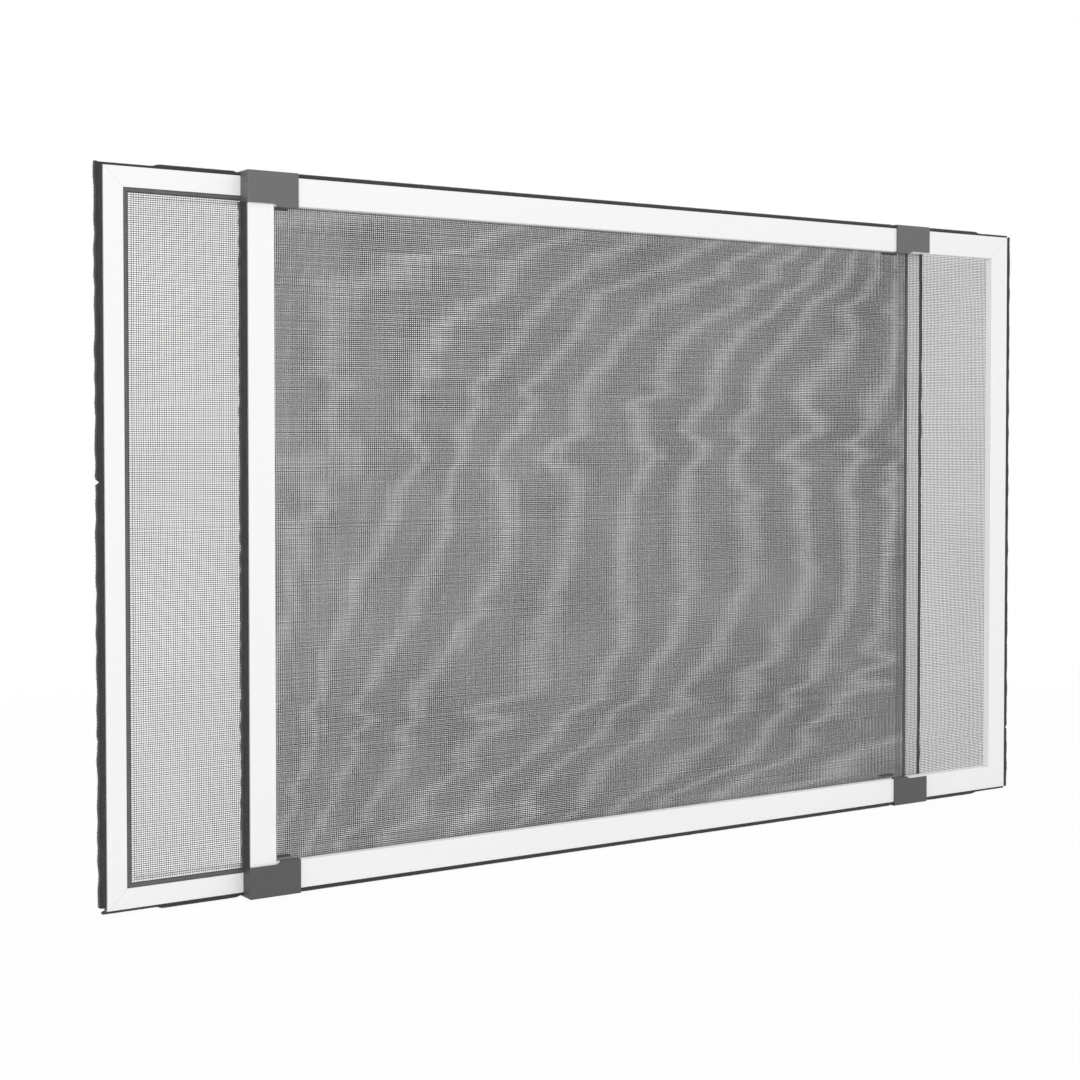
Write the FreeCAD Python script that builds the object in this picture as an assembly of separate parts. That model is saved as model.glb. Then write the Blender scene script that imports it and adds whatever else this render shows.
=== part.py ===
import FreeCAD, Part
import math
import os

from FreeCAD import Vector

# Extendable insect screen for a window: two alike frames slide past each other sideways.
# X runs along the width, Y away from the viewer and Z up. The origin lies midway between
# the ends of the drawn-out screen, midway between the frames, at the height of the feet.
# A member's section has u, from its plain face to its grooved face, and v, from its outer
# edge towards the mesh.

# Frames
frame_width = 750.0
frame_height = 500.0
rest_offset = 100.0
frame_gap = 2.5

# Aluminium section
face_width = 20.0
section_depth = 7.5
section_wall = 1.0
outer_round = 0.8
lip_round = 0.3

# Fine line along the plain face, beside its inner edge
line_inset = 3.2
line_width = 0.8
line_depth = 0.2

# Groove that holds the mesh
groove_width = 3.5
groove_depth = 4.5
inner_lip = 2.5
lip_drop = 0.6

# Slot that holds the brush
slot_mouth = 3.0
slot_lip = 1.0
slot_chamber = 1.3

# Corner keys inside the mitres
key_leg = 30.0
key_clearance = 0.1
key_round = 1.5

# Mesh
sheet_thickness = 0.3
mesh_columns = 12
mesh_rows = 10
opening_width = 42.0
opening_height = 33.0
ridges_per_bar = 3
ridge_pitch = 4.0
ridge_width = 1.2
ridge_height = 0.15
ridge_margin = 0.5

# Spline that presses the mesh into its groove
spline_clearance = 0.05
spline_lift = 0.4
spline_round = 1.2

# Brush strips
strip_clearance = 0.1
strip_base = 1.1
pile_width = 5.0
side_pile = 4.3
rail_pile = 1.7
pile_round = 0.4
strip_end_gap = 3.0

# Clips
clip_length = 38.0
clip_wall = 1.6
clip_end_wall = 1.0
roof_wall = 1.2
roof_room = 2.0
running_clearance = 0.1
clip_side_height = 19.2
step_run = 3.5
web_height = 14.0
hook_thickness = 1.0
hook_clearance = 0.2
hook_reach = 2.5
clip_round = 1.0
clip_key_start = 3.0
clip_gap = 0.1

# Worked out from the sizes above
half_width = frame_width / 2
half_height = frame_height / 2
slot_floor = slot_lip + slot_chamber
hollow_start = slot_floor + section_wall
groove_end = face_width - inner_lip
groove_start = groove_end - groove_width
groove_floor = section_depth - groove_depth
lip_top = section_depth - lip_drop
middle = section_depth / 2
rail_edge_height = roof_room + roof_wall

# Two points closer than this count as one when edges are picked
same_place = 0.01


def arc_corner(before, corner, after, radius):
    """Start, middle and end of the arc that rounds a corner."""
    to_before = (before - corner).normalize()
    to_after = (after - corner).normalize()
    half_angle = to_before.getAngle(to_after) / 2
    run = radius / math.tan(half_angle)
    centre = corner + (to_before + to_after).normalize() * (radius / math.sin(half_angle))
    crown = centre + (corner - centre).normalize() * radius
    return corner + to_before * run, crown, corner + to_after * run


def rounded_outline(corners):
    """Closed wire through pairs of a point and the radius of its corner."""
    edges = []
    count = len(corners)
    stops = []
    for i, (point, radius) in enumerate(corners):
        if radius > 0:
            before = corners[i - 1][0]
            after = corners[(i + 1) % count][0]
            start, crown, end = arc_corner(before, point, after, radius)
            edges.append(Part.Arc(start, crown, end).toShape())
            stops.append((start, end))
        else:
            stops.append((point, point))
    for i in range(count):
        leave = stops[i][1]
        reach = stops[(i + 1) % count][0]
        edges.append(Part.LineSegment(leave, reach).toShape())
    return Part.Wire(Part.__sortEdges__(edges))


def section_bar(corners, start, end):
    """Bar along X with an outline of (u, v, radius) corners."""
    points = [(Vector(start, u, v), radius) for u, v, radius in corners]
    return Part.Face(rounded_outline(points)).extrude(Vector(end - start, 0, 0))


def block(x_span, y_span, z_span):
    """Box between two limits along each axis."""
    size = [high - low for low, high in (x_span, y_span, z_span)]
    return Part.makeBox(*size, Vector(x_span[0], y_span[0], z_span[0]))


def prism(points, y_span):
    """Solid over a polygon of (x, z) points, between two values of Y."""
    low, high = y_span
    loop = [Vector(x, low, z) for x, z in points + points[:1]]
    return Part.Face(Part.makePolygon(loop)).extrude(Vector(0, high - low, 0))


def about(centre, width):
    """Limits of a stretch of that width about a centre."""
    return centre - width / 2, centre + width / 2


def bar_ridges(reach, count):
    """Middles of the ridges on the bars between count equal fields from -reach to reach."""
    bars = [-reach + 2 * reach * i / count for i in range(1, count)]
    shifts = [(i - (ridges_per_bar - 1) / 2) * ridge_pitch for i in range(ridges_per_bar)]
    return [bar + shift for bar in bars for shift in shifts]


def middles(reach, count):
    """Middles of count equal fields from -reach to reach."""
    return [-reach + 2 * reach * (i + 0.5) / count for i in range(count)]


def member_sides():
    """Turn, length and distance from the middle of the four members, from the bottom round."""
    return {
        "bottom": (0, frame_width, half_height),
        "right": (90, frame_height, half_width),
        "top": (180, frame_width, half_height),
        "left": (270, frame_height, half_width),
    }


def on_side(shape, side):
    """Puts a member made along X, with its outer edge at Z 0, on one side of the frame."""
    turn, _, distance = member_sides()[side]
    placed = shape.copy()
    placed.translate(Vector(0, 0, -distance))
    placed.rotate(Vector(0, 0, 0), Vector(0, -1, 0), turn)
    return placed


def mitred(bar, length):
    """Bar cut at 45 degrees at both ends, full length at its outer edge."""
    half = length / 2
    inner = half - face_width
    wedge = [(-half, 0), (half, 0), (inner, face_width), (-inner, face_width)]
    return bar.common(prism(wedge, (0, section_depth)))


def aluminium_member(length):
    """Hollow section with a brush slot in its outer edge and a groove in one face."""
    left = middle - slot_mouth / 2
    right = middle + slot_mouth / 2
    chamber_right = section_depth - section_wall
    line = face_width - line_inset
    outline = [
        (0, 0, outer_round),
        (0, line - line_width / 2, 0),
        (line_depth, line, 0),
        (0, line + line_width / 2, 0),
        (0, face_width, outer_round),
        (lip_top, face_width, lip_round),
        (lip_top, groove_end, lip_round),
        (groove_floor, groove_end, 0),
        (groove_floor, groove_start, 0),
        (section_depth, groove_start, lip_round),
        (section_depth, 0, outer_round),
        (right, 0, 0),
        (right, slot_lip, 0),
        (chamber_right, slot_lip, 0),
        (chamber_right, slot_floor, 0),
        (section_wall, slot_floor, 0),
        (section_wall, slot_lip, 0),
        (left, slot_lip, 0),
        (left, 0, 0),
    ]
    floor_back = groove_floor - section_wall
    hollow = [
        (section_wall, hollow_start, 0),
        (chamber_right, hollow_start, 0),
        (chamber_right, groove_start - section_wall, 0),
        (floor_back, groove_start - section_wall, 0),
        (floor_back, face_width - section_wall, 0),
        (section_wall, face_width - section_wall, 0),
    ]
    half = length / 2
    bar = section_bar(outline, -half, half).cut(section_bar(hollow, -half, half))
    return mitred(bar, length)


def corner_key(x_sign, z_sign):
    """L-shaped key that joins two hollow members inside their mitre."""
    start = hollow_start + key_clearance
    width = groove_start - section_wall - key_clearance - start
    low = section_wall + key_clearance
    high = section_depth - section_wall - key_clearance
    shape = [
        (0, 0, 0),
        (key_leg, 0, key_round),
        (key_leg, width, key_round),
        (width, width, 0),
        (width, key_leg, key_round),
        (0, key_leg, key_round),
    ]
    points = []
    for along, across, radius in shape:
        x = x_sign * (half_width - start - along)
        z = z_sign * (half_height - start - across)
        points.append((Vector(x, low, z), radius))
    return Part.Face(rounded_outline(points)).extrude(Vector(0, high - low, 0))


def spline_cord():
    """Rubber cord in the groove, all the way round."""
    low = groove_start + spline_clearance
    high = groove_end - sheet_thickness - spline_clearance
    bottom = groove_floor + spline_lift
    top = lip_top + sheet_thickness
    section = [
        (bottom, low, spline_round),
        (bottom, high, spline_round),
        (top, high, spline_round),
        (top, low, spline_round),
    ]
    ring = None
    for side, (_, length, _) in member_sides().items():
        half = length / 2
        stretch = on_side(mitred(section_bar(section, -half, half), length), side)
        ring = stretch if ring is None else ring.fuse(stretch)
    return ring.removeSplitter()


def mesh_wall():
    """Mesh as one wall with openings between ridged bars, its rim folded into the groove."""
    rim_x = half_width - groove_end + sheet_thickness
    rim_z = half_height - groove_end + sheet_thickness
    inside_x = rim_x - sheet_thickness
    inside_z = rim_z - sheet_thickness
    rim_bottom = groove_floor + spline_lift
    top = lip_top + sheet_thickness
    wall = block((-rim_x, rim_x), (rim_bottom, top), (-rim_z, rim_z))
    wall = wall.cut(block((-inside_x, inside_x), (rim_bottom, lip_top), (-inside_z, inside_z)))
    clear_x = half_width - face_width - ridge_margin
    clear_z = half_height - face_width - ridge_margin
    openings = []
    for x in middles(clear_x, mesh_columns):
        for z in middles(clear_z, mesh_rows):
            opening = block(about(x, opening_width), (lip_top, top), about(z, opening_height))
            openings.append(opening)
    wall = wall.cut(Part.makeCompound(openings))
    ridges = []
    for x in bar_ridges(clear_x, mesh_columns):
        ridges.append(block(about(x, ridge_width), (top, top + ridge_height), (-clear_z, clear_z)))
    for z in bar_ridges(clear_z, mesh_rows):
        ridges.append(block((-clear_x, clear_x), (lip_top - ridge_height, lip_top),
                            about(z, ridge_width)))
    return wall.fuse(ridges).removeSplitter()


def brush_strip(base_span, pile_span, pile_height):
    """Brush strip along X: a base in the slot's chamber and a pile outside the edge."""
    neck = (slot_mouth - 2 * strip_clearance) / 2
    side = middle - section_wall - strip_clearance
    base_low = slot_lip + strip_clearance
    base = section_bar([
        (middle - side, base_low, 0),
        (middle + side, base_low, 0),
        (middle + side, base_low + strip_base, 0),
        (middle - side, base_low + strip_base, 0),
    ], *base_span)
    stem = block(base_span, (middle - neck, middle + neck), (0, base_low))
    pile = section_bar([
        (middle - pile_width / 2, -pile_height, pile_round),
        (middle + pile_width / 2, -pile_height, pile_round),
        (middle + pile_width / 2, 0, 0),
        (middle - pile_width / 2, 0, 0),
    ], *pile_span)
    return pile.fuse([stem, base]).removeSplitter()


def rail_brush(side):
    """Brush on a rail, from the clip of its own frame to the frame's other end."""
    clip_end = half_width - clip_length - clip_gap
    span = (-clip_end, half_width)
    base_span = (-clip_end, half_width - strip_end_gap)
    if side == "top":
        span = (-span[1], -span[0])
        base_span = (-base_span[1], -base_span[0])
    return on_side(brush_strip(base_span, span, rail_pile), side)


def stile_brush(side):
    """Brush on a stile: whole at the free end, and between the clips at the other."""
    if side == "left":
        end = half_height - clip_side_height - clip_gap
        return on_side(brush_strip((-end, end), (-end, end), side_pile), side)
    base_end = half_height - strip_end_gap
    return on_side(brush_strip((-base_end, base_end), (-half_height, half_height), side_pile), side)


def top_clip():
    """Slide clip at the frame's left end, fixed on its own rail and running on the other's."""
    own_x = -half_width
    end_x = own_x + clip_length
    other_low = section_depth + frame_gap - running_clearance
    other_high = 2 * section_depth + frame_gap + running_clearance
    back = 2 * section_depth + frame_gap + clip_wall
    flange_bottom = face_width + hook_clearance + hook_thickness
    roof_inner = half_height + roof_room
    roof_outer = roof_inner + roof_wall
    bottom = half_height - flange_bottom
    below = bottom - hook_thickness
    outside = own_x - clip_end_wall

    body = block((outside, end_x), (-clip_wall, back), (bottom, roof_outer))
    rounded = []
    for edge in body.Edges:
        ends = [vertex.Point for vertex in edge.Vertexes]
        on_roof = all(abs(point.z - roof_outer) < same_place for point in ends)
        on_end = all(abs(point.x - outside) < same_place for point in ends)
        far_end = all(abs(point.x - end_x) < same_place for point in ends)
        foot = all(abs(point.z - bottom) < same_place for point in ends)
        if (on_roof or on_end) and not far_end and not foot:
            rounded.append(edge)
    body = body.makeFillet(clip_round, rounded)

    room = end_x + clip_wall
    own_room = block((own_x, room), (0, section_depth), (below, roof_inner))
    under_web = block((own_x, room), (section_depth, other_low), (below, half_height - web_height))
    other_room = block((outside - clip_wall, room), (other_low, other_high), (below, roof_inner))
    side_bottom = half_height - clip_side_height
    step_x = own_x + face_width
    step = prism([
        (outside - clip_wall, side_bottom),
        (step_x, side_bottom),
        (step_x + step_run, bottom),
        (step_x + step_run, below),
        (outside - clip_wall, below),
    ], (-2 * clip_wall, back + clip_wall))
    body = body.cut([own_room, under_web, other_room, step])

    hook_span = (step_x + step_run, end_x)
    own_hook = block(hook_span, (-clip_wall / 2, hook_reach), (bottom, half_height - face_width))
    other_hook = block(hook_span, (other_high - hook_reach, back - clip_wall / 2),
                       (bottom, bottom + hook_thickness))
    neck = (slot_mouth - 2 * strip_clearance) / 2
    head = middle - section_wall - strip_clearance
    head_low = half_height - slot_lip - strip_clearance
    key_span = (own_x + clip_key_start, end_x)
    key_neck = block(key_span, (middle - neck, middle + neck), (head_low, roof_inner + roof_wall / 2))
    key_head = block(key_span, (middle - head, middle + head), (head_low - strip_base, head_low))
    return body.fuse([own_hook, other_hook, key_neck, key_head]).removeSplitter()


def frame_pieces():
    """Pieces of one frame about its middle, with its plain face at Y 0."""
    pieces = {}
    for side, (_, length, _) in member_sides().items():
        kind = "rail" if side in ("top", "bottom") else "stile"
        pieces[f"{side}_{kind}"] = on_side(aluminium_member(length), side)
        brush = rail_brush(side) if kind == "rail" else stile_brush(side)
        pieces[f"{side}_brush"] = brush
    for height, z_sign in (("top", 1), ("bottom", -1)):
        for hand, x_sign in (("left", -1), ("right", 1)):
            pieces[f"{height}_{hand}_key"] = corner_key(x_sign, z_sign)
    pieces["spline"] = spline_cord()
    pieces["mesh"] = mesh_wall()
    clip = top_clip()
    pieces["top_clip"] = clip
    pieces["bottom_clip"] = clip.mirror(Vector(0, 0, 0), Vector(0, 0, 1))
    return pieces


def swapped_hand(name):
    """Name of a piece after a half turn about Z, which trades left and right."""
    swaps = {"left": "right", "right": "left"}
    return "_".join(swaps.get(word, word) for word in name.split("_"))


def save(name, shape):
    """Writes one piece as parts/NAME.step."""
    solid = shape.Solids[0] if len(shape.Solids) == 1 else shape
    solid.exportStep(os.path.join("parts", name + ".step"))


os.makedirs("parts", exist_ok=True)
plain_face = -(frame_gap / 2 + section_depth)
frame_place = Vector(rest_offset / 2, plain_face, rail_edge_height + half_height)
for piece_name, piece in frame_pieces().items():
    front = piece.copy()
    front.translate(frame_place)
    save("front_" + piece_name, front)
    rear = front.copy()
    rear.rotate(Vector(0, 0, 0), Vector(0, 0, 1), 180)
    save("rear_" + swapped_hand(piece_name), rear)
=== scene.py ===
import math
import random

import bpy
import numpy as np
from bpy.props import FloatProperty, FloatVectorProperty, IntProperty, PointerProperty
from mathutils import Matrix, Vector


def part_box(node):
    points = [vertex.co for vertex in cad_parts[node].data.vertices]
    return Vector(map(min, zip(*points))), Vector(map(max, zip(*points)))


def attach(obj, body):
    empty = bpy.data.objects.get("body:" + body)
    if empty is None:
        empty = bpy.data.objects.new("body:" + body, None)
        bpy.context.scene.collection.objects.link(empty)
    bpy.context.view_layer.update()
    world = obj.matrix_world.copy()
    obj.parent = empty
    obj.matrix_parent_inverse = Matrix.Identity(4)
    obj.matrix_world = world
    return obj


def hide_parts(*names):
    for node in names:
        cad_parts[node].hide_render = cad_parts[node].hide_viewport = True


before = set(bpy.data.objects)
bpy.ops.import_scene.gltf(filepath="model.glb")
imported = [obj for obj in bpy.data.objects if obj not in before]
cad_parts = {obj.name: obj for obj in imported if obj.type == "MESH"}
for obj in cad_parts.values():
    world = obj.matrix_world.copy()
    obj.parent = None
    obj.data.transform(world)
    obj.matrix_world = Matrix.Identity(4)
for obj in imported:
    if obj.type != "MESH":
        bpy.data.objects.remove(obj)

bl_info = {
    "name": "Extendable Window Screen",
    "version": (1, 0, 0),
    "blender": (4, 5, 0),
    "location": "View3D > Sidebar > Window Screen",
    "description": "Woven mesh, brush piles, finishes and studio for a draw-out insect screen",
    "category": "Object",
}

MM = 0.001
FRAMES = ("front", "rear")
ACROSS = Vector((1, 0, 0))
THROUGH = Vector((0, 1, 0))
UP = Vector((0, 0, 1))

# Each side of a frame: the member's kind, the way it runs and the way its outer edge faces
SIDES = {
    "top": ("rail", ACROSS, UP),
    "bottom": ("rail", ACROSS, -UP),
    "left": ("stile", UP, -ACROSS),
    "right": ("stile", UP, ACROSS),
}


def frame_box(which):
    """Lowest and highest corner of one frame's aluminium."""
    boxes = [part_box(f"{which}_{side}_{kind}") for side, (kind, _, _) in SIDES.items()]
    low = Vector([min(box[0][i] for box in boxes) for i in range(3)])
    high = Vector([max(box[1][i] for box in boxes) for i in range(3)])
    return low, high


def other(which):
    """The other frame's name."""
    return FRAMES[1 - FRAMES.index(which)]


# Settings


class MeshSizes(bpy.types.PropertyGroup):
    """Sizes of the woven mesh."""

    level_width: FloatProperty(
        name="Level thread width", description="Width of a level thread, seen from the front",
        default=0.42 * MM, precision=5, unit="LENGTH")
    upright_width: FloatProperty(
        name="Upright thread width", description="Width of an upright thread, seen from the front",
        default=0.27 * MM, precision=5, unit="LENGTH")
    thread_depth: FloatProperty(
        name="Thread depth", description="Depth of a coated thread, through the mesh",
        default=0.25 * MM, precision=5, unit="LENGTH")
    front_across: FloatProperty(
        name="Front spacing across", description="Distance between the front mesh's upright threads",
        default=1.698 * MM, precision=5, unit="LENGTH")
    front_up: FloatProperty(
        name="Front spacing up", description="Distance between the front mesh's level threads",
        default=1.440 * MM, precision=5, unit="LENGTH")
    front_lift: FloatProperty(
        name="Front lift", description="Height of the front mesh's middle thread over the middle",
        default=-0.28 * MM, precision=5, unit="LENGTH")
    rear_across: FloatProperty(
        name="Rear spacing across", description="Distance between the rear mesh's upright threads",
        default=1.654 * MM, precision=5, unit="LENGTH")
    rear_up: FloatProperty(
        name="Rear spacing up", description="Distance between the rear mesh's level threads",
        default=1.443 * MM, precision=5, unit="LENGTH")
    rear_lift: FloatProperty(
        name="Rear lift", description="Height of the rear mesh's middle thread over the middle",
        default=0.28 * MM, precision=5, unit="LENGTH")
    slant: FloatProperty(
        name="Slant", description="How far a mesh is pulled askew at its top and bottom",
        default=2.8 * MM, precision=5, unit="LENGTH")
    drift: FloatProperty(
        name="Drift", description="How far the whole weave wanders from straight lines",
        default=0.45 * MM, precision=5, unit="LENGTH")
    jolt: FloatProperty(
        name="Jolt", description="How far neighbouring upright threads jump sideways from step to step",
        default=0.26 * MM, precision=5, unit="LENGTH")
    scatter: FloatProperty(
        name="Scatter", description="How far single threads lie off their even spacing",
        default=0.05 * MM, precision=5, unit="LENGTH")
    fold: FloatProperty(
        name="Fold", description="How far the mesh dips into its groove beside the spline",
        default=1.6 * MM, precision=5, unit="LENGTH")
    level_steps: IntProperty(
        name="Level steps", description="Straight pieces that make up one level thread",
        default=10, min=4, max=12)
    upright_steps: IntProperty(
        name="Upright steps", description="Straight pieces that make up one upright thread",
        default=44, min=4, max=44)


class PileSizes(bpy.types.PropertyGroup):
    """Sizes of the brush piles."""

    stile_height: FloatProperty(
        name="Height on the stiles", description="Height of the free pile on the stiles",
        default=5.35 * MM, precision=5, unit="LENGTH")
    rail_height: FloatProperty(
        name="Height on the rails", description="Height of the free pile on the rails",
        default=3.18 * MM, precision=5, unit="LENGTH")
    pressed_height: FloatProperty(
        name="Pressed height", description="Height of the pile where a clip has lain on it",
        default=1.8 * MM, precision=5, unit="LENGTH")
    pressed_length: FloatProperty(
        name="Pressed length", description="Length of the pressed stretch at a rail's far end",
        default=35 * MM, precision=5, unit="LENGTH")
    rise: FloatProperty(
        name="Rise", description="Length over which pressed pile rises to its free height",
        default=5 * MM, precision=5, unit="LENGTH")
    root_width: FloatProperty(
        name="Root width", description="Width of the pile where it leaves its slot",
        default=2.8 * MM, precision=5, unit="LENGTH")
    tip_width: FloatProperty(
        name="Tip width", description="Width that the pile fans out to",
        default=6.4 * MM, precision=5, unit="LENGTH")
    ring_spacing: FloatProperty(
        name="Ring spacing", description="Distance between the rings of the pile's body",
        default=2 * MM, precision=5, unit="LENGTH")
    tuft_spacing: FloatProperty(
        name="Tuft spacing", description="Distance between tufts along the strip",
        default=0.85 * MM, precision=5, unit="LENGTH")
    rows: IntProperty(
        name="Rows", description="Rows of tufts side by side", default=5, min=2, max=6)
    stile_unevenness: FloatProperty(
        name="Unevenness on the stiles", description="Share by which the stiles' pile varies",
        default=0.24, min=0, max=0.3, subtype="FACTOR")
    rail_unevenness: FloatProperty(
        name="Unevenness on the rails", description="Share by which the rails' pile varies",
        default=0.03, min=0, max=0.3, subtype="FACTOR")


class FinishColours(bpy.types.PropertyGroup):
    """Colours of the finishes."""

    coat: FloatVectorProperty(
        name="Powder coat", description="White powder coat of the aluminium",
        default=(0.89, 0.89, 0.89), subtype="COLOR")
    # One clip plastic in two copies: the bottom clips' darker colour is painted shade, for the dimmer
    # light and reflection they get
    top_clip: FloatVectorProperty(
        name="Top clips", description="Grey plastic of the slide clips at the top",
        default=(0.125, 0.125, 0.126), subtype="COLOR")
    bottom_clip_painted_shade: FloatVectorProperty(
        name="Bottom clips", description="Grey plastic of the slide clips at the bottom",
        default=(0.079, 0.079, 0.080), subtype="COLOR")
    rubber: FloatVectorProperty(
        name="Spline rubber", description="Grey rubber of the spline",
        default=(0.105, 0.105, 0.106), subtype="COLOR")
    pile: FloatVectorProperty(
        name="Pile", description="Anthracite yarn of the brushes",
        default=(0.040, 0.040, 0.041), subtype="COLOR")
    yarn: FloatVectorProperty(
        name="Mesh yarn", description="Coating of the mesh threads",
        default=(0.060, 0.060, 0.061), subtype="COLOR")
    key: FloatVectorProperty(
        name="Key plastic", description="Black plastic of the corner keys",
        default=(0.030, 0.030, 0.030), subtype="COLOR")


class StageSetup(bpy.types.PropertyGroup):
    """Camera, lamps and floor."""

    lens: FloatProperty(
        name="Lens", description="Focal length of the camera", default=62.96, unit="CAMERA")
    camera_place: FloatVectorProperty(
        name="Camera place", description="Where the camera stands",
        default=(-0.8775, -1.2094, 0.3209), subtype="TRANSLATION")
    camera_turn: FloatProperty(
        name="Camera turn", description="Turn of the camera about the upright axis",
        default=math.radians(-33.47), subtype="ANGLE")
    camera_dip: FloatProperty(
        name="Camera dip", description="How far the camera looks down",
        default=math.radians(1.558), subtype="ANGLE")
    shift_up: FloatProperty(
        name="Shift", description="Shift of the picture against the lens, in picture widths",
        default=-0.0463)
    sky: FloatProperty(
        name="Room light", description="Strength of the even light from all round", default=0.735)
    key_power: FloatProperty(
        name="Key lamp", description="Power of the large lamp at the left",
        default=47.5, unit="POWER")
    key_place: FloatVectorProperty(
        name="Key lamp place", description="Where the large lamp stands",
        default=(-1.2, -3.4, 1.2), subtype="TRANSLATION")
    key_target: FloatVectorProperty(
        name="Key lamp target", description="Where the large lamp points",
        default=(0, 0, 0.25), subtype="TRANSLATION")
    key_size: FloatProperty(
        name="Key lamp size", description="Width and height of the large lamp",
        default=2.4, unit="LENGTH")
    floor_tone: FloatVectorProperty(
        name="Floor", description="Colour of the floor", default=(0.86, 0.86, 0.86),
        subtype="COLOR")
    floor_glow: FloatProperty(
        name="Floor whiteness", description="Share of plain white in the floor beside the screen",
        default=0.95, min=0, max=1, subtype="FACTOR")
    floor_size: FloatProperty(
        name="Floor size", description="Length and width of the floor", default=60, unit="LENGTH")
    floor_near: FloatProperty(
        name="Near floor", description="Distance from which the floor turns to plain white",
        default=0.45, unit="LENGTH")
    floor_fade: FloatProperty(
        name="Floor fade", description="Length over which the floor turns to plain white",
        default=1.0, unit="LENGTH")


class ScreenSettings(bpy.types.PropertyGroup):
    """All settings of the window screen."""

    mesh: PointerProperty(type=MeshSizes)
    pile: PointerProperty(type=PileSizes)
    colours: PointerProperty(type=FinishColours)
    stage: PointerProperty(type=StageSetup)


# Finishes

# Reach of the dark line along a mitre to each side, measured level, and again that of its soft edge
MITRE_LINE = 0.10 * MM


class Shade:
    """One output in a shader tree. Arithmetic on it adds Math nodes."""

    def __init__(self, shaders, socket):
        self.shaders = shaders
        self.socket = socket

    def math(self, operation, *values):
        return self.shaders.node("ShaderNodeMath", {"operation": operation}, dict(enumerate(values)))

    def __add__(self, other):
        return self.math("ADD", self, other)

    def __radd__(self, other):
        return self.math("ADD", other, self)

    def __sub__(self, other):
        return self.math("SUBTRACT", self, other)

    def __rsub__(self, other):
        return self.math("SUBTRACT", other, self)

    def __mul__(self, other):
        return self.math("MULTIPLY", self, other)

    def __rmul__(self, other):
        return self.math("MULTIPLY", other, self)

    def __abs__(self):
        return self.math("ABSOLUTE", self)

    def below(self, limit, softness):
        """1 where the value lies under the limit, falling to 0 over the softness."""
        inputs = {"Value": self, "From Min": limit, "From Max": limit + softness,
                  "To Min": 1.0, "To Max": 0.0}
        return self.shaders.node("ShaderNodeMapRange", {"interpolation_type": "SMOOTHSTEP"}, inputs)


class ShaderTree:
    """Nodes of a material or a world."""

    def __init__(self, owner):
        owner.use_nodes = True
        self.tree = owner.node_tree
        self.tree.nodes.clear()

    def node(self, kind, settings=None, inputs=None, output=0):
        """Adds a node, with its settings first and then the values or links of its sockets."""
        node = self.tree.nodes.new(kind)
        for key, value in (settings or {}).items():
            setattr(node, key, value)
        for key, value in (inputs or {}).items():
            if isinstance(value, Shade):
                self.tree.links.new(value.socket, node.inputs[key])
            else:
                node.inputs[key].default_value = value
        return Shade(self, node.outputs[output])

    def show(self, surface, kind="ShaderNodeOutputMaterial"):
        """Links a shader to the tree's output."""
        output = self.tree.nodes.new(kind)
        self.tree.links.new(surface.socket, output.inputs["Surface"])


class Finish(ShaderTree):
    """Procedural material on the places of the piece that wears it."""

    def __init__(self, name):
        self.material = bpy.data.materials.new(name)
        super().__init__(self.material)
        self.place = self.node("ShaderNodeTexCoord", output="Object")

    def axis(self, name):
        """One coordinate of the place on the piece, in metres."""
        return self.node("ShaderNodeSeparateXYZ", None, {"Vector": self.place}, name)

    def noise(self, scale, detail=2.0, stretch=(1, 1, 1)):
        """Noise with features of 1 / scale metres, drawn out where stretch is under 1."""
        vector = self.node("ShaderNodeMapping", None, {"Vector": self.place, "Scale": stretch})
        inputs = {"Vector": vector, "Scale": scale, "Detail": detail, "Roughness": 0.55}
        return self.node("ShaderNodeTexNoise", None, inputs, "Fac")

    def tinted(self, colour, factor):
        """The colour times a factor that varies over the surface."""
        grey = self.node("ShaderNodeCombineColor", None, {"Red": factor, "Green": factor, "Blue": factor})
        first, second, mixed = 6, 7, 2
        inputs = {"Factor": 1.0, first: (*colour, 1.0), second: grey}
        return self.node("ShaderNodeMix", {"data_type": "RGBA", "blend_type": "MULTIPLY"}, inputs, mixed)

    def bump(self, height, depth):
        """Surface normal for a height from 0 to 1 that stands for depth in metres."""
        return self.node("ShaderNodeBump", None, {"Height": height, "Strength": 1.0, "Distance": depth})

    def shader(self, **inputs):
        """Closes the tree with a Principled shader, whose sockets are named with underscores."""
        named = {key.replace("_", " "): value for key, value in inputs.items()}
        self.show(self.node("ShaderNodeBsdfPrincipled", None, named))
        return self.material


def powder_coat(which, colour):
    """White powder coat with a faint orange peel and a fine dark line along each mitre."""
    low, high = frame_box(which)
    middle = (low + high) / 2
    reach = (high - low) / 2
    finish = Finish(f"powder_coat_{which}")
    inwards_x = reach.x - abs(finish.axis("X") - middle.x)
    inwards_z = reach.z - abs(finish.axis("Z") - middle.z)
    mitre = abs(inwards_x - inwards_z).below(MITRE_LINE, MITRE_LINE)
    peel = finish.noise(650.0)
    cloud = finish.noise(9.0)
    tone = 0.985 + 0.02 * cloud - 0.28 * mitre
    return finish.shader(
        Base_Color=finish.tinted(colour, tone),
        Roughness=0.36 + 0.08 * peel,
        Normal=finish.bump(peel - 1.5 * mitre, 0.02 * MM),
        Specular_IOR_Level=0.45)


def clip_plastic(height, colour):
    """Moulded plastic with a fine sparked grain, in the colour it is given; the bottom clips' colour is a
    darker copy, as painted shade.
    """
    finish = Finish(f"clip_plastic_{height}")
    grain = finish.noise(2600.0, 3.0)
    cloud = finish.noise(60.0)
    return finish.shader(
        Base_Color=finish.tinted(colour, 0.9 + 0.12 * grain + 0.08 * cloud),
        Roughness=0.42 + 0.12 * grain,
        Normal=finish.bump(grain, 0.03 * MM))


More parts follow.
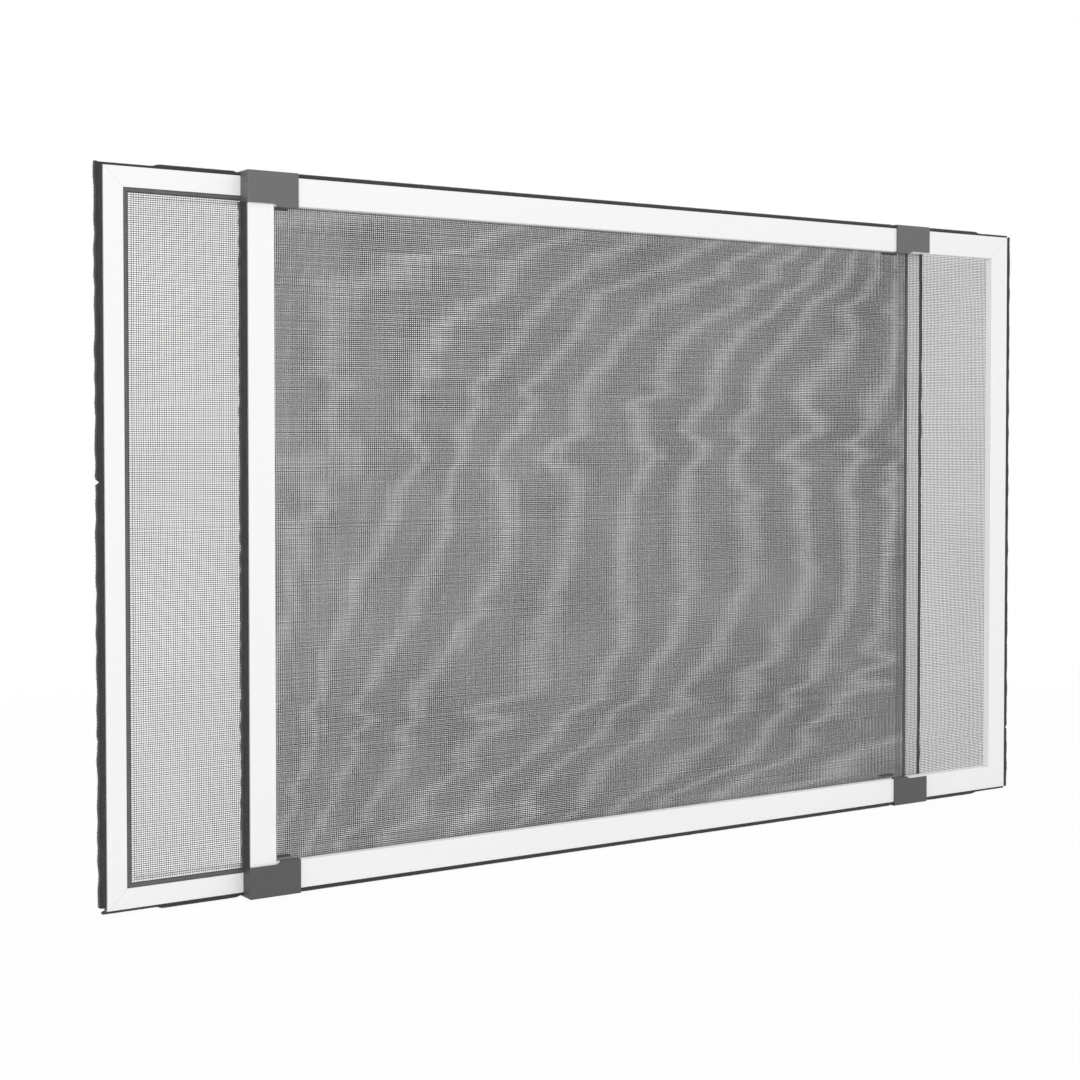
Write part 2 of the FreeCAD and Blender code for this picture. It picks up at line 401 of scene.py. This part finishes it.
def key_plastic(colour):
    """Moulded plastic of the keys inside the mitres."""
    finish = Finish("key_plastic")
    grain = finish.noise(1500.0)
    return finish.shader(
        Base_Color=finish.tinted(colour, 0.85 + 0.3 * grain),
        Roughness=0.5 + 0.1 * grain,
        Normal=finish.bump(grain, 0.03 * MM))


def spline_rubber(colour):
    """Matt rubber with a chalky bloom and a slightly uneven skin."""
    finish = Finish("spline_rubber")
    bloom = finish.noise(140.0, 4.0)
    skin = finish.noise(900.0)
    return finish.shader(
        Base_Color=finish.tinted(colour, 0.72 + 0.5 * bloom),
        Roughness=0.6 + 0.15 * skin,
        Normal=finish.bump(skin + 0.6 * bloom, 0.06 * MM))


def pile_yarn(kind, along, outwards, colour):
    """Dense pile: fine fibres that stand up from the strip, in locks and streaks along it."""
    finish = Finish(f"pile_yarn_{kind}")
    fibre = finish.noise(2400.0, 3.0, tuple(0.12 if abs(axis) > 0.5 else 1.0 for axis in outwards))
    streak = finish.noise(620.0, 2.0, tuple(0.06 if abs(axis) > 0.5 else 1.0 for axis in along))
    lock = finish.noise(120.0, 2.0)
    return finish.shader(
        Base_Color=finish.tinted(colour, 0.15 + 0.55 * fibre + 0.75 * streak + 0.4 * lock),
        Roughness=0.85,
        Normal=finish.bump(fibre + streak, 0.10 * MM),
        Sheen_Weight=0.25, Sheen_Roughness=0.5, Specular_IOR_Level=0.2)


def coated_yarn(colour):
    """Glass-fibre yarn in a thin satin coating of uneven thickness."""
    finish = Finish("coated_yarn")
    coating = finish.noise(420.0, 2.0)
    patch = finish.noise(14.0, 2.0)
    return finish.shader(
        Base_Color=finish.tinted(colour, 3.0 * patch + 0.4 * coating - 0.7),
        Roughness=0.42 + 0.2 * coating,
        Specular_IOR_Level=0.35)


def give_finish(piece, material):
    """Puts one material in all the slots of a piece."""
    if not piece.material_slots:
        piece.data.materials.append(material)
    for slot in piece.material_slots:
        slot.material = material


def finish_nodes(names, material):
    """Gives one material to CAD nodes."""
    for name in names:
        give_finish(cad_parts[name], material)


# Modelling helpers


def select_only(*pieces):
    """Leaves just these objects selected, and the last of them active."""
    bpy.ops.object.select_all(action="DESELECT")
    for piece in pieces:
        piece.select_set(True)
        bpy.context.view_layer.objects.active = piece


def apply_modifier(piece, kind, **settings):
    """Adds a modifier, sets it and applies it."""
    select_only(piece)
    modifier = piece.modifiers.new(kind.title(), kind)
    for key, value in settings.items():
        setattr(modifier, key, value)
    bpy.ops.object.modifier_apply(modifier=modifier.name)


def settle(piece):
    """Moves a piece's place, turn and size into its mesh."""
    select_only(piece)
    bpy.ops.object.transform_apply(location=True, rotation=True, scale=True)


def joined(name, pieces):
    """Several meshes as one object."""
    select_only(*pieces)
    bpy.ops.object.join()
    whole = bpy.context.view_layer.objects.active
    whole.name = name
    whole.data.name = name
    return whole


def points_of(piece):
    """The piece's vertices as an array of rows of x, y and z."""
    flat = np.empty(len(piece.data.vertices) * 3)
    piece.data.vertices.foreach_get("co", flat)
    return flat.reshape(-1, 3)


def set_points(piece, points):
    """Writes the array back to the piece's vertices."""
    piece.data.vertices.foreach_set("co", points.ravel())
    piece.data.update()


# Woven mesh

# Slow waves that the threads follow: share of the drift, waves per metre across and up, and phase,
# first for the shift sideways and then for the shift up
FRONT_WAVES = (
    ((0.60, 1.3, 3.1, 0.4), (0.35, 4.2, -2.2, 1.9), (0.22, -2.6, 7.4, 4.0)),
    ((0.28, 1.5, 1.0, 0.4), (0.14, 4.0, 2.0, 1.0)),
)
REAR_WAVES = (
    ((0.60, 2.1, -2.6, 3.3), (0.35, 3.2, 3.9, 5.2), (0.22, 5.1, -6.3, 1.3)),
    ((0.28, 1.1, -1.2, 2.4), (0.14, 3.6, -2.9, 4.0)),
)
# Slowest and fastest waves per metre: of one thread's bend, and of a jolt across the mesh
BEND_RATES = (3, 9)
JOLT_RATES = (1.5, 5)
# How far a thread bends and how far it shifts at most, both as shares of the scatter
BEND = 0.6
FARTHEST = 2
# Width of the rim beside the spline in which the weave straightens out
RIM = 12 * MM


def waves_at(waves, across, up):
    """Sum of the waves at each point."""
    total = np.zeros_like(across)
    for share, per_x, per_z, phase in waves:
        total += share * np.sin(math.tau * (per_x * across + per_z * up) + phase)
    return total


def thread(length, width, plane, fold, steps):
    """One flat thread along X about the origin, its ends dipped into the groove."""
    bpy.ops.object.select_all(action="DESELECT")
    bpy.ops.mesh.primitive_grid_add(x_subdivisions=steps, y_subdivisions=1, size=1)
    strip = bpy.context.object
    strip.scale = (length, width, 1)
    strip.rotation_euler = (math.pi / 2, 0, 0)
    settle(strip)
    for end in (-1, 1):
        bpy.ops.object.mode_set(mode="EDIT")
        bpy.ops.mesh.select_mode(type="VERT")
        bpy.ops.mesh.select_all(action="DESELECT")
        bpy.ops.object.mode_set(mode="OBJECT")
        for vertex in strip.data.vertices:
            vertex.select = vertex.co.x * end > length / 2 - width / 4
        bpy.ops.object.mode_set(mode="EDIT")
        dip = (0, math.copysign(fold, plane), 0)
        bpy.ops.mesh.extrude_region_move(TRANSFORM_OT_translate={"value": dip})
        bpy.ops.object.mode_set(mode="OBJECT")
    return strip


def scattered(piece, count, scatter, seed):
    """Shifts each of the piece's like threads a little, and bends it slowly along its length."""
    draws = np.random.default_rng(seed)
    points = points_of(piece).reshape(count, -1, 3)
    shift = draws.normal(0, scatter, count).clip(-FARTHEST * scatter, FARTHEST * scatter)
    rate = draws.uniform(*BEND_RATES, count)
    phase = draws.uniform(0, math.tau, count)
    bend = np.sin(math.tau * rate[:, None] * points[:, :, 0] + phase[:, None])
    points[:, :, 2] += shift[:, None] + BEND * scatter * bend
    set_points(piece, points)


def thread_layer(count, pitch, upright, scatter, seed, **sizes):
    """Parallel threads about the origin, level or upright."""
    strip = thread(**sizes)
    apply_modifier(strip, "ARRAY", count=count, use_relative_offset=False,
                   use_constant_offset=True, constant_offset_displace=(0, 0, pitch))
    scattered(strip, count, scatter, seed)
    strip.location.z = -(count - 1) * pitch / 2
    settle(strip)
    if upright:
        strip.rotation_euler = (0, math.pi / 2, 0)
        settle(strip)
    return strip


def jolts_at(across, share_up, sizes, seed):
    """Sideways jumps from step to step, which fade in and out across the mesh."""
    draws = np.random.default_rng(seed)
    count = sizes.upright_steps + 1
    sway = draws.normal(0, sizes.jolt, count)
    rate = draws.uniform(*JOLT_RATES, count)
    phase = draws.uniform(0, math.tau, count)
    step = np.rint((share_up + 1) / 2 * sizes.upright_steps).astype(int)
    # The middle of the mesh is calmer than its top and bottom
    calm = 0.4 + 0.6 * np.abs(share_up)
    return calm * sway[step] * np.sin(math.tau * rate[step] * across + phase[step])


def pulled(screen, sizes, reach, middle, side, waves, seed):
    """Pulls a flat weave about the origin a little askew, and leaves its edges where they are."""
    points = points_of(screen)
    across = points[:, 0] + middle.x
    up = points[:, 2] + middle.z
    share_across = points[:, 0] / reach[0]
    share_up = points[:, 2] / reach[1]
    # The weave leans gently in the middle and more and more towards the top and bottom
    slant = side * sizes.slant * (0.2 * share_up + 0.8 * share_up ** 3) * (1 - share_across ** 4)
    jolts = jolts_at(across, share_up, sizes, seed)
    held = np.clip((1 - np.abs(share_across)) * reach[0] / RIM, 0, 1)
    held_up = np.clip((1 - np.abs(share_up)) * reach[1] / RIM, 0, 1)
    drift = sizes.drift * waves_at(waves[0], across, up)
    points[:, 0] += slant + (jolts + drift) * held
    points[:, 2] += sizes.drift * waves_at(waves[1], across, up) * held_up
    set_points(screen, points)


def odd_count(length, pitch):
    """Most threads that fit the length with one of them in its middle."""
    return 2 * int((length / pitch - 1) / 2) + 1


def woven_mesh(which, sizes, across_pitch, up_pitch, lift, waves):
    """The mesh of one frame, held all round by the spline."""
    low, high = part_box(f"{which}_mesh")
    spline_low, spline_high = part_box(f"{which}_spline")
    face = spline_high.y if which == "front" else spline_low.y
    middle = (low + high) / 2
    wall = sizes.thread_depth
    plane = face - math.copysign(wall / 2, face)
    width = high.x - low.x - wall
    height = high.z - low.z - wall
    columns = odd_count(width, across_pitch)
    rows = odd_count(height, up_pitch)
    shared = {"plane": plane, "fold": sizes.fold, "scatter": sizes.scatter}
    seed = 100 * FRAMES.index(which)
    level = thread_layer(rows, up_pitch, False, seed=seed, length=width,
                         width=sizes.level_width, steps=sizes.level_steps, **shared)
    level.location.z = lift
    settle(level)
    upright = thread_layer(columns, across_pitch, True, seed=seed + 1, length=height,
                           width=sizes.upright_width, steps=sizes.upright_steps, **shared)
    screen = joined(f"{which}_screen", [level, upright])
    side = -1 if which == "front" else 1
    pulled(screen, sizes, (width / 2, height / 2), middle, side, waves, seed + 2)
    screen.location = (middle.x, plane, middle.z)
    settle(screen)
    apply_modifier(screen, "SOLIDIFY", thickness=wall, offset=0.0)
    flat = (width + 2 * sizes.fold, height + 2 * sizes.fold)
    return screen, flat


# Brush piles

# The strip's backing in its slot: its thickness and its clearance to each wall
BACKING = 1.1 * MM
CLEARANCE = 0.05 * MM
# How far the stem between backing and pile reaches out of the slot
STEM = 0.3 * MM
# The pile's body: corners of its section, and shares of its height at which it starts and ends to flare
BODY_SIDES = 12
FLARE = (0.02, 0.2)
# The waves in the pile's height: their number, and the slowest and fastest per metre
PILE_WAVES = 4
PILE_RATES = (15, 80)
# A tuft: radius at its root and tip, how far its tip strays along and across, and its share of height
TUFT_ROOT = 0.45 * MM
TUFT_TIP = 0.14 * MM
STRAY_ALONG = 0.5 * MM
STRAY_ACROSS = 0.3 * MM
TUFT_HEIGHTS = (0.93, 1.05)
# How far a tuft's root strays along the strip, as a share of the tufts' spacing
ROOT_STRAY = 0.3
# Strip ends whose tufts spread past the end: how far at the lower or left end, and at the other
SPREADS = {
    ("rear", "left"): (0, 2.4 * MM),
    ("rear", "top"): (2.6 * MM, 0),
    ("rear", "bottom"): (2.6 * MM, 0),
    ("front", "right"): (0.4 * MM, 0.5 * MM),
}
# How far a pile stops short of its strip's lower or left end
SHORTFALLS = {("rear", "left"): 2.6 * MM}
# Dents in a pile: place along the strip, half length and depth as a share of the height
DENTS = {
    ("rear", "left"): ((0.292, 1.1 * MM, 0.75), (0.118, 2.5 * MM, 0.12)),
    ("front", "right"): ((0.057, 1.1 * MM, 0.45), (0.037, 7 * MM, -0.06)),
}


def ramp(value, start, run):
    """0 before the start, 1 after the run, smooth between."""
    share = min(max((value - start) / run, 0.0), 1.0)
    return share * share * (3 - 2 * share)


def pressed_share(along, zone, rise):
    """1 in a pressed stretch, falling to 0 over the rise beside it."""
    low, high = zone
    return ramp(along, low - rise, rise) * (1 - ramp(along, high, rise))


class PileShape:
    """Height and lean of one brush's pile, worked out along its strip."""

    def __init__(self, sizes, place, height, unevenness, pressed, draws):
        self.sizes = sizes
        self.height = height
        self.unevenness = unevenness
        self.pressed = pressed
        self.spread = SPREADS.get(place, (0, 0))
        self.dents = DENTS.get(place, ())
        self.waves = [(draws.uniform(*PILE_RATES), draws.uniform(0, math.tau)) for _ in range(PILE_WAVES)]

    def top(self, along):
        """Height of the pile."""
        swell = sum(math.sin(math.tau * rate * along + phase) for rate, phase in self.waves)
        top = self.height * (1 - self.unevenness * (0.5 - 0.5 * swell / len(self.waves)))
        for place, reach, depth in self.dents:
            top *= 1 - depth * math.exp(-((along - place) / reach) ** 2)
        squeeze = max((pressed_share(along, zone, self.sizes.rise) for zone in self.pressed), default=0)
        return top + (min(self.sizes.pressed_height, top) - top) * squeeze

    def lean(self, along, start, end):
        """How far the tips stand off their roots along the strip, near its ends."""
        low, high = self.spread
        run = self.sizes.rise
        return high * ramp(along, end - run, run) - low * (1 - ramp(along, start, run))


def tube(rings, sides):
    """Closed tube of radius 1 along X, with rings 1 apart from 0 on."""
    bpy.ops.object.select_all(action="DESELECT")
    bpy.ops.mesh.primitive_cylinder_add(
        vertices=sides, radius=1, depth=1, end_fill_type="NOTHING",
        location=(0.5, 0, 0), rotation=(0, math.pi / 2, 0))
    piece = bpy.context.object
    settle(piece)
    apply_modifier(piece, "ARRAY", count=rings, use_relative_offset=False, use_constant_offset=True,
                   constant_offset_displace=(1, 0, 0), use_merge_vertices=True)
    bpy.ops.object.mode_set(mode="EDIT")
    bpy.ops.mesh.select_all(action="SELECT")
    bpy.ops.mesh.fill_holes(sides=0)
    bpy.ops.object.mode_set(mode="OBJECT")
    return piece


def pile_body(shape, start, end):
    """Closed body of the pile, block-like with rounded corners over a narrow root."""
    sizes = shape.sizes
    count = round((end - start) / sizes.ring_spacing)
    body = tube(count, BODY_SIDES)
    points = points_of(body)
    ring = np.rint(points[:, 0]).astype(int)
    places = np.linspace(start, end, count + 1)
    tops = np.array([shape.top(place) for place in places])
    leans = np.array([shape.lean(place, start, end) for place in places])
    square = (points[:, 1] ** 4 + points[:, 2] ** 4) ** 0.25
    share = (points[:, 2] / square + 1) / 2
    width = np.interp(share, FLARE, (sizes.root_width, sizes.tip_width))
    moved = np.empty_like(points)
    moved[:, 0] = places[ring] + share * leans[ring]
    moved[:, 1] = points[:, 1] / square * width / 2
    moved[:, 2] = share * tops[ring]
    set_points(body, moved)
    return body


def tuft():
    """One tuft of unit height, standing on the origin."""
    bpy.ops.object.select_all(action="DESELECT")
    bpy.ops.mesh.primitive_cone_add(
        vertices=3, radius1=TUFT_ROOT, radius2=TUFT_TIP, depth=1, location=(0, 0, 0.5))
    piece = bpy.context.object
    settle(piece)
    return piece


def planted(template, stands):
    """Many copies of a template mesh as one object. A stand is (place, lean, turn, height)."""
    shape = points_of(template)
    polygons = [tuple(polygon.vertices) for polygon in template.data.polygons]
    points = []
    faces = []
    for (along, across), (lean_along, lean_across), turn, height in stands:
        cosine, sine = math.cos(turn), math.sin(turn)
        copy = np.empty_like(shape)
        copy[:, 0] = along + cosine * shape[:, 0] - sine * shape[:, 1] + lean_along * shape[:, 2]
        copy[:, 1] = across + sine * shape[:, 0] + cosine * shape[:, 1] + lean_across * shape[:, 2]
        copy[:, 2] = shape[:, 2] * height
        start = len(points) * len(shape)
        points.append(copy)
        faces.extend(tuple(start + corner for corner in polygon) for polygon in polygons)
    mesh = bpy.data.meshes.new("tufts")
    mesh.from_pydata(np.concatenate(points).tolist(), [], faces)
    piece = bpy.data.objects.new("tufts", mesh)
    bpy.context.collection.objects.link(piece)
    return piece


def pile_tufts(shape, start, end, draws):
    """Tufts that roughen the body's top."""
    sizes = shape.sizes
    count = int((end - start) / sizes.tuft_spacing)
    stands = []
    for i in range(count):
        along = start + (i + 0.5) * (end - start) / count
        top = shape.top(along)
        lean = shape.lean(along, start, end)
        for row in range(sizes.rows):
            share = (row + 0.5) / sizes.rows - 0.5
            shift = draws.uniform(-ROOT_STRAY, ROOT_STRAY) * sizes.tuft_spacing
            root = (along + shift, share * sizes.root_width)
            fan = share * (sizes.tip_width - sizes.root_width)
            fan += draws.uniform(-STRAY_ACROSS, STRAY_ACROSS)
            stray = lean + draws.uniform(-STRAY_ALONG, STRAY_ALONG)
            tall = min(top * draws.uniform(*TUFT_HEIGHTS), shape.height)
            stands.append((root, (stray, fan), draws.uniform(0, math.tau), tall))
    template = tuft()
    tufts = planted(template, stands)
    bpy.data.objects.remove(template)
    return tufts


def bar(low, high):
    """Box between two corners."""
    bpy.ops.object.select_all(action="DESELECT")
    bpy.ops.mesh.primitive_cube_add(size=1, location=[(a + b) / 2 for a, b in zip(low, high)])
    piece = bpy.context.object
    piece.scale = [b - a for a, b in zip(low, high)]
    settle(piece)
    return piece


def stood_up(piece, along, outwards, origin):
    """Turns a strip made along X with its pile up onto one side of a frame."""
    points = points_of(piece)
    axes = np.array([along, THROUGH, outwards])
    set_points(piece, points @ axes + np.array(origin))
    select_only(piece)
    bpy.ops.object.mode_set(mode="EDIT")
    bpy.ops.mesh.select_all(action="SELECT")
    bpy.ops.mesh.normals_make_consistent(inside=False)
    bpy.ops.object.mode_set(mode="OBJECT")


def pressed_zones(which, side, start, end, sizes):
    """Stretches of a rail's pile that a clip presses, or has pressed at the rail's far end."""
    far_end = end if which == "front" else start
    reach = math.copysign(sizes.pressed_length, far_end)
    clip_low, clip_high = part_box(f"{other(which)}_{side}_clip")
    return [tuple(sorted((far_end - reach, far_end + reach))), (clip_low.x, clip_high.x)]


def brush(which, side, sizes, seed):
    """Brush strip of one side: backing in the slot and pile outside the edge."""
    kind, along, outwards = SIDES[side]
    node = f"{which}_{side}_brush"
    low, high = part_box(node)
    member_low, member_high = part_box(f"{which}_{side}_{kind}")
    start, end = sorted((low.dot(along), high.dot(along)))
    edge = max(member_low.dot(outwards), member_high.dot(outwards))
    root = min(low.dot(outwards), high.dot(outwards)) - edge
    foot = (high.y - low.y) / 2 - CLEARANCE
    lip = root + BACKING
    stem = sizes.root_width / 2
    rail = kind == "rail"
    height = sizes.rail_height if rail else sizes.stile_height
    unevenness = sizes.rail_unevenness if rail else sizes.stile_unevenness
    zones = pressed_zones(which, side, start, end, sizes) if rail else []
    draws = random.Random(seed)
    shape = PileShape(sizes, (which, side), height, unevenness, zones, draws)
    first = start + SHORTFALLS.get((which, side), 0)
    piece = joined(f"{which}_{side}_pile", [
        pile_body(shape, first, end),
        pile_tufts(shape, first, end, draws),
        bar((start, -foot, root), (end, foot, lip)),
        bar((first, -stem, lip), (end, stem, STEM)),
    ])
    stood_up(piece, along, outwards, THROUGH * (low.y + high.y) / 2 + outwards * edge)
    return piece, node


# Operators


class WINDOW_SCREEN_OT_coat_members(bpy.types.Operator):
    """Powder-coat the rails and stiles."""

    bl_idname = "window_screen.coat_members"
    bl_label = "Coat the Members"
    bl_options = {"REGISTER", "UNDO"}

    def execute(self, context):
        settings = context.scene.window_screen
        for which in FRAMES:
            names = [f"{which}_{side}_{kind}" for side, (kind, _, _) in SIDES.items()]
            finish_nodes(names, powder_coat(which, settings.colours.coat))
        return {"FINISHED"}


class WINDOW_SCREEN_OT_mould_keys(bpy.types.Operator):
    """Finish the corner keys inside the mitres."""

    bl_idname = "window_screen.mould_keys"
    bl_label = "Mould the Corner Keys"
    bl_options = {"REGISTER", "UNDO"}

    def execute(self, context):
        settings = context.scene.window_screen
        names = [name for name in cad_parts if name.endswith("_key")]
        finish_nodes(names, key_plastic(settings.colours.key))
        return {"FINISHED"}


class WINDOW_SCREEN_OT_mould_clips(bpy.types.Operator):
    """Finish the slide clips that hold the two frames together, the bottom ones in a darker copy of the
    plastic as painted shade.
    """

    bl_idname = "window_screen.mould_clips"
    bl_label = "Mould the Clips"
    bl_options = {"REGISTER", "UNDO"}

    def execute(self, context):
        settings = context.scene.window_screen
        # The bottom clips' colour is a darker copy of the top clips' plastic: painted shade
        colours = {"top": settings.colours.top_clip, "bottom": settings.colours.bottom_clip_painted_shade}
        for height, colour in colours.items():
            names = [f"{which}_{height}_clip" for which in FRAMES]
            finish_nodes(names, clip_plastic(height, colour))
        return {"FINISHED"}


class WINDOW_SCREEN_OT_press_splines(bpy.types.Operator):
    """Finish the rubber splines that hold the meshes."""

    bl_idname = "window_screen.press_splines"
    bl_label = "Press in the Splines"
    bl_options = {"REGISTER", "UNDO"}

    def execute(self, context):
        settings = context.scene.window_screen
        names = [f"{which}_spline" for which in FRAMES]
        finish_nodes(names, spline_rubber(settings.colours.rubber))
        return {"FINISHED"}


class WINDOW_SCREEN_OT_weave_meshes(bpy.types.Operator):
    """Weave the two meshes thread by thread."""

    bl_idname = "window_screen.weave_meshes"
    bl_label = "Weave the Meshes"
    bl_options = {"REGISTER", "UNDO"}

    def execute(self, context):
        settings = context.scene.window_screen
        sizes = settings.mesh
        yarn = coated_yarn(settings.colours.yarn)
        spacings = {
            "front": (sizes.front_across, sizes.front_up, sizes.front_lift, FRONT_WAVES),
            "rear": (sizes.rear_across, sizes.rear_up, sizes.rear_lift, REAR_WAVES),
        }
        for which in FRAMES:
            screen, flat = woven_mesh(which, sizes, *spacings[which])
            screen.visible_shadow = False
            screen.visible_diffuse = False
            give_finish(screen, yarn)
            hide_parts(f"{which}_mesh")
            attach(screen, f"{which}_frame")
        return {"FINISHED"}


class WINDOW_SCREEN_OT_plant_piles(bpy.types.Operator):
    """Plant the brush piles round both frames."""

    bl_idname = "window_screen.plant_piles"
    bl_label = "Plant the Brush Piles"
    bl_options = {"REGISTER", "UNDO"}

    def execute(self, context):
        settings = context.scene.window_screen
        yarns = {
            "rail": pile_yarn("rail", ACROSS, UP, settings.colours.pile),
            "stile": pile_yarn("stile", UP, ACROSS, settings.colours.pile),
        }
        for which in FRAMES:
            for side, (kind, _, _) in SIDES.items():
                seed = 10 * FRAMES.index(which) + list(SIDES).index(side)
                piece, node = brush(which, side, settings.pile, seed)
                give_finish(piece, yarns[kind])
                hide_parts(node)
                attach(piece, f"{which}_frame")
        return {"FINISHED"}


class WINDOW_SCREEN_OT_set_stage(bpy.types.Operator):
    """Set the floor, the lamps and the camera."""

    bl_idname = "window_screen.set_stage"
    bl_label = "Set the Stage"
    bl_options = {"REGISTER", "UNDO"}

    def execute(self, context):
        stage = context.scene.window_screen.stage
        add_floor(stage)
        add_room_light(stage)
        add_key_lamp(stage)
        add_camera(stage)
        context.scene.view_settings.view_transform = "Standard"
        return {"FINISHED"}


def seen_rays(shaders):
    """1 for rays that end in the picture: from the camera, off a shine or through glass."""
    kinds = ("Is Camera Ray", "Is Glossy Ray", "Is Transmission Ray")
    camera, shine, glass = (shaders.node("ShaderNodeLightPath", output=kind) for kind in kinds)
    return camera + shine + glass


def add_floor(stage):
    """Pale floor at the height of the feet, which keeps a faint shadow and fades to plain white."""
    bpy.ops.object.select_all(action="DESELECT")
    bpy.ops.mesh.primitive_plane_add(size=stage.floor_size)
    floor = bpy.context.object
    floor.name = "floor"
    finish = Finish("floor")
    matt = finish.node("ShaderNodeBsdfDiffuse", None, {"Color": (*stage.floor_tone, 1.0)})
    white = finish.node("ShaderNodeEmission", None, {"Color": (1, 1, 1, 1), "Strength": 1.0})
    distance = finish.node("ShaderNodeVectorMath", {"operation": "LENGTH"}, {0: finish.place}, "Value")
    near = distance.below(stage.floor_near, stage.floor_fade)
    inputs = {"Fac": seen_rays(finish) * (1 - (1 - stage.floor_glow) * near), 1: matt, 2: white}
    finish.show(finish.node("ShaderNodeMixShader", None, inputs))
    give_finish(floor, finish.material)


def add_room_light(stage):
    """Even light from all round, and plain white where it is seen."""
    world = bpy.data.worlds.new("room")
    bpy.context.scene.world = world
    shaders = ShaderTree(world)
    white = (1, 1, 1, 1)
    room = shaders.node("ShaderNodeBackground", None, {"Color": white, "Strength": stage.sky})
    seen = shaders.node("ShaderNodeBackground", None, {"Color": white, "Strength": 1.0})
    inputs = {"Fac": seen_rays(shaders), 1: room, 2: seen}
    shaders.show(shaders.node("ShaderNodeMixShader", None, inputs), "ShaderNodeOutputWorld")


def add_key_lamp(stage):
    """Large soft lamp to the left, in front of the object."""
    lamp = bpy.data.lights.new("key_lamp", "AREA")
    lamp.size = stage.key_size
    lamp.energy = stage.key_power
    place = bpy.data.objects.new("key_lamp", lamp)
    place.location = stage.key_place
    target = Vector(stage.key_target)
    place.rotation_euler = (target - place.location).to_track_quat("-Z", "Y").to_euler()
    bpy.context.collection.objects.link(place)


def add_camera(stage):
    """Camera with the lens, place and shift of the settings."""
    camera = bpy.data.cameras.new("camera")
    camera.sensor_width = 36
    camera.lens = stage.lens
    camera.shift_y = stage.shift_up
    camera.clip_start = 0.01
    camera.dof.use_dof = False
    holder = bpy.data.objects.new("camera", camera)
    holder.location = stage.camera_place
    holder.rotation_euler = (math.pi / 2 - stage.camera_dip, 0, stage.camera_turn)
    bpy.context.collection.objects.link(holder)
    bpy.context.scene.camera = holder


class WINDOW_SCREEN_PT_steps(bpy.types.Panel):
    """Lists the steps and the settings."""

    bl_idname = "WINDOW_SCREEN_PT_steps"
    bl_label = "Window Screen"
    bl_space_type = "VIEW_3D"
    bl_region_type = "UI"
    bl_category = "Window Screen"

    def draw(self, context):
        settings = context.scene.window_screen
        for step in STEPS:
            self.layout.operator(step.bl_idname)
        for group in (settings.mesh, settings.pile, settings.colours, settings.stage):
            box = self.layout.box()
            for name in group.bl_rna.properties.keys():
                if name not in ("rna_type", "name"):
                    box.prop(group, name)


STEPS = (
    WINDOW_SCREEN_OT_coat_members,
    WINDOW_SCREEN_OT_mould_keys,
    WINDOW_SCREEN_OT_mould_clips,
    WINDOW_SCREEN_OT_press_splines,
    WINDOW_SCREEN_OT_weave_meshes,
    WINDOW_SCREEN_OT_plant_piles,
    WINDOW_SCREEN_OT_set_stage,
)
CLASSES = (
    MeshSizes,
    PileSizes,
    FinishColours,
    StageSetup,
    ScreenSettings,
    *STEPS,
    WINDOW_SCREEN_PT_steps,
)


def register():
    for item in CLASSES:
        bpy.utils.register_class(item)
    bpy.types.Scene.window_screen = PointerProperty(type=ScreenSettings)


def unregister():
    del bpy.types.Scene.window_screen
    for item in reversed(CLASSES):
        bpy.utils.unregister_class(item)


def main():
    """Builds the looks round the CAD frame."""
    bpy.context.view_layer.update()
    register()
    bpy.ops.window_screen.coat_members()
    bpy.ops.window_screen.mould_keys()
    bpy.ops.window_screen.mould_clips()
    bpy.ops.window_screen.press_splines()
    bpy.ops.window_screen.weave_meshes()
    bpy.ops.window_screen.plant_piles()
    bpy.ops.window_screen.set_stage()


if __name__ == "__main__":
    main()
